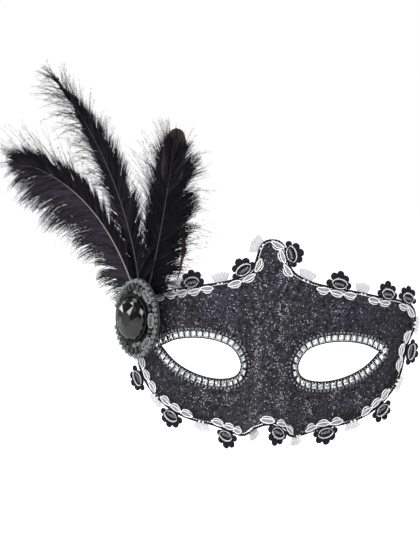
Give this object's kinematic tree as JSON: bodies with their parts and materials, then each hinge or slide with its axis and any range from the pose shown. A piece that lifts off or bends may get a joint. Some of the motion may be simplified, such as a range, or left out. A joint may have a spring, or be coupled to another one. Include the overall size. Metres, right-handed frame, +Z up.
{
  "type": "venetian masquerade mask",
  "caption": "Black and silver lace half mask with stone-edged eye openings, a crocheted flower border and a dark jewel holding feathers at one temple.",
  "frame": {"origin": "inner face of the shell at the nose bridge, level with the eyes: where the mask sits on the wearer's nose", "axes": "+Z up, +Y from the mask towards the wearer's face, so the decorated front faces -Y, +X to the right as the front is seen"},
  "size_m": [0.2444, 0.1039, 0.218],
  "materials": {
    "shell": "smooth black moulded shell",
    "lace": "black and silver brocade lace, fine mesh",
    "trim_band": "black ribbon under the stones",
    "stone_cups": "bright pressed metal cups",
    "stones": "clear cut glass stones",
    "black_cord": "black gimp cord",
    "white_stitch": "white thread beads",
    "tulle": "sheer grey tulle",
    "flower_lace": "black and silver guipure lace",
    "leaf_lace": "silver white guipure lace",
    "jewel_plate": "dark grey-green plate",
    "pad": "black felt",
    "metal_beads": "dark green-silver metallic beads",
    "cup": "dark setting",
    "gem": "black faceted gem",
    "thread": "black thread",
    "quill": "grey-brown feather shaft",
    "feather": "black iridescent feather barbs"
  },
  "bodies": {
    "mask": {"mask_shell": "shell", "lace_cover": "lace", "eye_band_left": "trim_band", "eye_band_right": "trim_band", "eye_cups_left": "stone_cups", "eye_cups_right": "stone_cups", "eye_stones_left": "stones", "eye_stones_right": "stones", "edge_cord": "black_cord", "stitch_beads": "white_stitch", "tulle_fans": "tulle", "jewel_plate": "jewel_plate", "jewel_pad": "pad", "beads_outer": "metal_beads", "beads_middle": "metal_beads", "beads_inner": "metal_beads", "jewel_leaves": "metal_beads", "jewel_cup": "cup", "jewel_stone": "gem", "feather_stitch": "thread", "flower_01": "flower_lace", "leaves_01": "leaf_lace", "flower_02": "flower_lace", "leaves_02": "leaf_lace", "flower_03": "flower_lace", "leaves_03": "leaf_lace", "flower_04": "flower_lace", "leaves_04": "leaf_lace", "flower_05": "flower_lace", "leaves_05": "leaf_lace", "flower_06": "flower_lace", "leaves_06": "leaf_lace", "flower_07": "flower_lace", "leaves_07": "leaf_lace", "flower_08": "flower_lace", "leaves_08": "leaf_lace", "flower_09": "flower_lace", "leaves_09": "leaf_lace", "flower_10": "flower_lace", "leaves_10": "leaf_lace", "flower_11": "flower_lace", "leaves_11": "leaf_lace", "flower_12": "flower_lace", "leaves_12": "leaf_lace", "flower_13": "flower_lace", "leaves_13": "leaf_lace", "flower_14": "flower_lace", "leaves_14": "leaf_lace", "flower_15": "flower_lace", "leaves_15": "leaf_lace"},
    "feather_left": {"feather_left_quill": "quill", "feather_left_vane": "feather"},
    "feather_middle": {"feather_middle_quill": "quill", "feather_middle_vane": "feather"},
    "feather_right": {"feather_right_quill": "quill", "feather_right_vane": "feather"}
  },
  "joints": [
    {"name": "feather_left_sway", "type": "hinge", "parent": "mask", "child": "feather_left", "pos_m": [-0.07694, 0.03329, 0.02732], "axis": [-0.5446, -0.8387, 0], "range_deg": [-8, 8], "stiffness_Nm_per_rad": 0.05},
    {"name": "feather_middle_sway", "type": "hinge", "parent": "mask", "child": "feather_middle", "pos_m": [-0.07591, 0.03489, 0.02732], "axis": [-0.5446, -0.8387, 0], "range_deg": [-8, 8], "stiffness_Nm_per_rad": 0.05},
    {"name": "feather_right_sway", "type": "hinge", "parent": "mask", "child": "feather_right", "pos_m": [-0.07487, 0.03648, 0.02732], "axis": [-0.5446, -0.8387, 0], "range_deg": [-8, 8], "stiffness_Nm_per_rad": 0.05}
  ]
}
